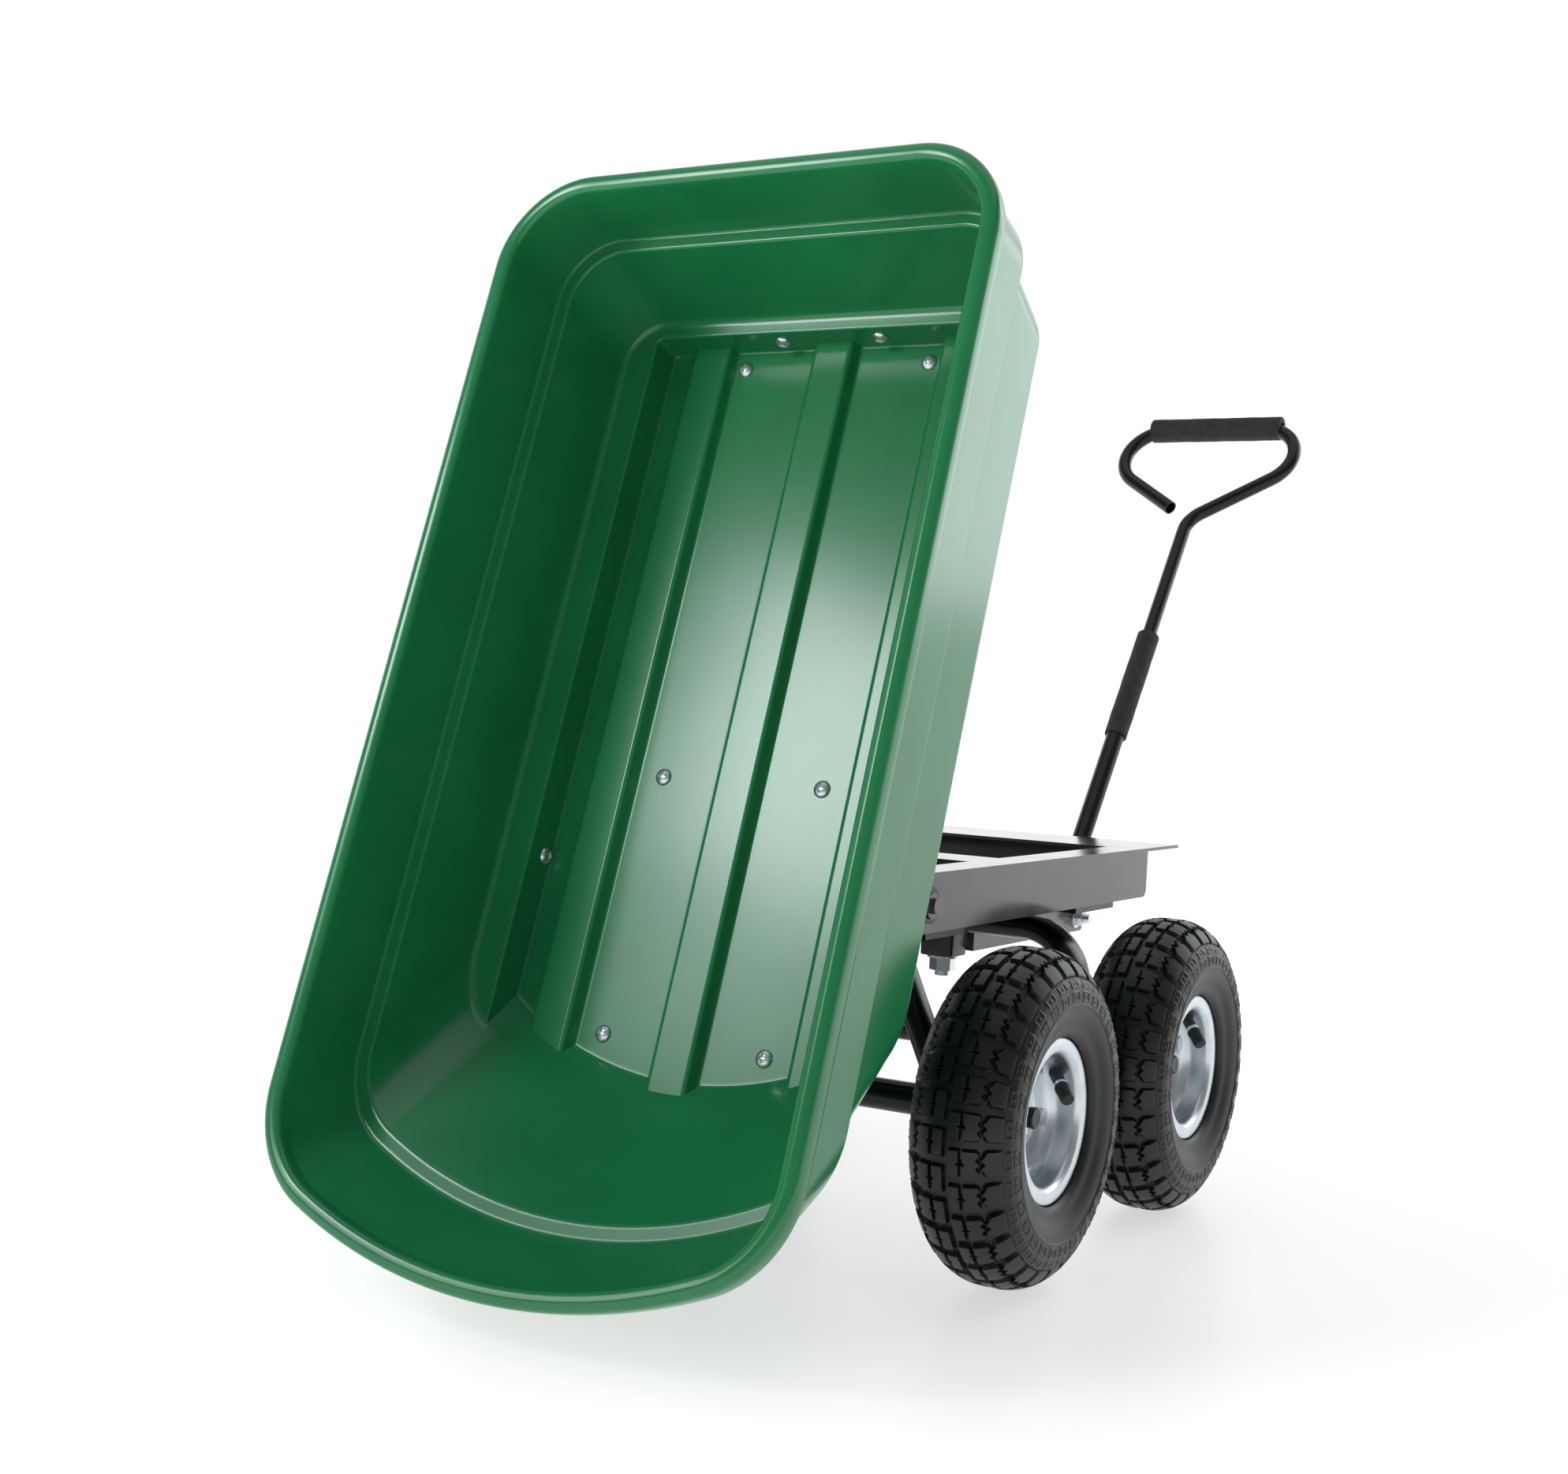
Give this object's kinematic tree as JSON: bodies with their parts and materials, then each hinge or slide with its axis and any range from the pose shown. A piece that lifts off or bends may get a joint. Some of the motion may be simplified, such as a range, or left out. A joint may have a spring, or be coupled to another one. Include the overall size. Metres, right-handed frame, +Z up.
{
  "type": "dump_cart",
  "caption": "Four-wheel garden dump cart with a green moulded tub that tips back, a steering front axle, air tyres and a loop handle",
  "frame": {"origin": "On the ground under the middle of the cart's length, from the tipped tub's lip to the handle's grip", "axes": "X runs forward from the tipped tub to the handle, Y to the cart's left, Z up"},
  "size_m": [1.4052, 0.523, 0.8468],
  "materials": {
    "green_polyethylene": "satin moulded polyethylene",
    "grey_enamel": "satin dark grey enamel",
    "black_enamel": "gloss black enamel",
    "zinc": "zinc plated",
    "tyre": "black rubber with a block tread",
    "tube_rubber": "smooth black rubber",
    "foam": "closed cell foam",
    "nylon": "black nylon"
  },
  "bodies": {
    "chassis": {"side_rail_left": "grey_enamel", "side_rail_right": "grey_enamel", "front_crossmember": "grey_enamel", "middle_crossmember": "grey_enamel", "kingpin_plate": "black_enamel", "rear_axle_plate": "black_enamel", "rear_leg_left": "black_enamel", "rear_leg_right": "black_enamel", "rear_axle_tube": "black_enamel", "rear_axle_shaft": "black_enamel", "rear_axle_washers": "zinc", "rear_split_pins": "zinc", "hinge_rod": "grey_enamel", "hinge_spacers": "grey_enamel", "hinge_rod_clips": "grey_enamel", "kingpin_bolt": "zinc", "kingpin_nut": "zinc"},
    "tub": {"tub": "green_polyethylene", "hinge_bracket_left": "black_enamel", "hinge_bracket_right": "black_enamel", "tub_runners": "black_enamel", "tub_bolts": "zinc", "tub_nuts": "zinc", "latch_bracket": "black_enamel", "latch_pin": "zinc"},
    "latch": {"latch_hook": "zinc"},
    "front_axle": {"front_arch": "black_enamel", "turntable_disc": "nylon", "front_axle_tube": "black_enamel", "front_axle_shaft": "black_enamel", "front_axle_washers": "zinc", "front_split_pins": "zinc", "drawbar": "grey_enamel", "handle_bolt": "zinc"},
    "handle": {"handle_shaft": "black_enamel", "handle_loop": "black_enamel", "handle_grip": "foam", "handle_sleeve": "foam"},
    "rear_left_wheel": {"rear_left_tyre": "tyre", "rear_left_rim_outer": "zinc", "rear_left_rim_inner": "zinc", "rear_left_hub": "zinc", "rear_left_tube": "tube_rubber"},
    "rear_right_wheel": {"rear_right_tyre": "tyre", "rear_right_rim_outer": "zinc", "rear_right_rim_inner": "zinc", "rear_right_hub": "zinc", "rear_right_tube": "tube_rubber"},
    "front_left_wheel": {"front_left_tyre": "tyre", "front_left_rim_outer": "zinc", "front_left_rim_inner": "zinc", "front_left_hub": "zinc", "front_left_tube": "tube_rubber"},
    "front_right_wheel": {"front_right_tyre": "tyre", "front_right_rim_outer": "zinc", "front_right_rim_inner": "zinc", "front_right_hub": "zinc", "front_right_tube": "tube_rubber"}
  },
  "joints": [
    {"name": "tub_tip", "type": "hinge", "parent": "chassis", "child": "tub", "pos_m": [-0.39383, 0, 0.2895], "axis": [0, 1, 0], "range_deg": [0, 71.4]},
    {"name": "steer", "type": "hinge", "parent": "chassis", "child": "front_axle", "pos_m": [-0.01283, 0, 0.25], "axis": [0, 0, 1], "range_deg": [-10, 10]},
    {"name": "handle_tilt", "type": "hinge", "parent": "front_axle", "child": "handle", "pos_m": [0.25717, 0, 0.221], "axis": [0, 1, 0], "range_deg": [-37, 60]},
    {"name": "latch_swing", "type": "hinge", "parent": "tub", "child": "latch", "pos_m": [-0.27864, 0, 0.75719], "axis": [0, -1, 0], "range_deg": [0, 24]},
    {"name": "rear_left_spin", "type": "hinge", "parent": "chassis", "child": "rear_left_wheel", "pos_m": [-0.32283, 0.2195, 0.129], "axis": [0, 1, 0], "continuous": true},
    {"name": "rear_right_spin", "type": "hinge", "parent": "chassis", "child": "rear_right_wheel", "pos_m": [-0.32283, -0.2195, 0.129], "axis": [0, 1, 0], "continuous": true},
    {"name": "front_left_spin", "type": "hinge", "parent": "front_axle", "child": "front_left_wheel", "pos_m": [-0.01283, 0.2195, 0.129], "axis": [0, 1, 0], "continuous": true},
    {"name": "front_right_spin", "type": "hinge", "parent": "front_axle", "child": "front_right_wheel", "pos_m": [-0.01283, -0.2195, 0.129], "axis": [0, 1, 0], "continuous": true}
  ]
}
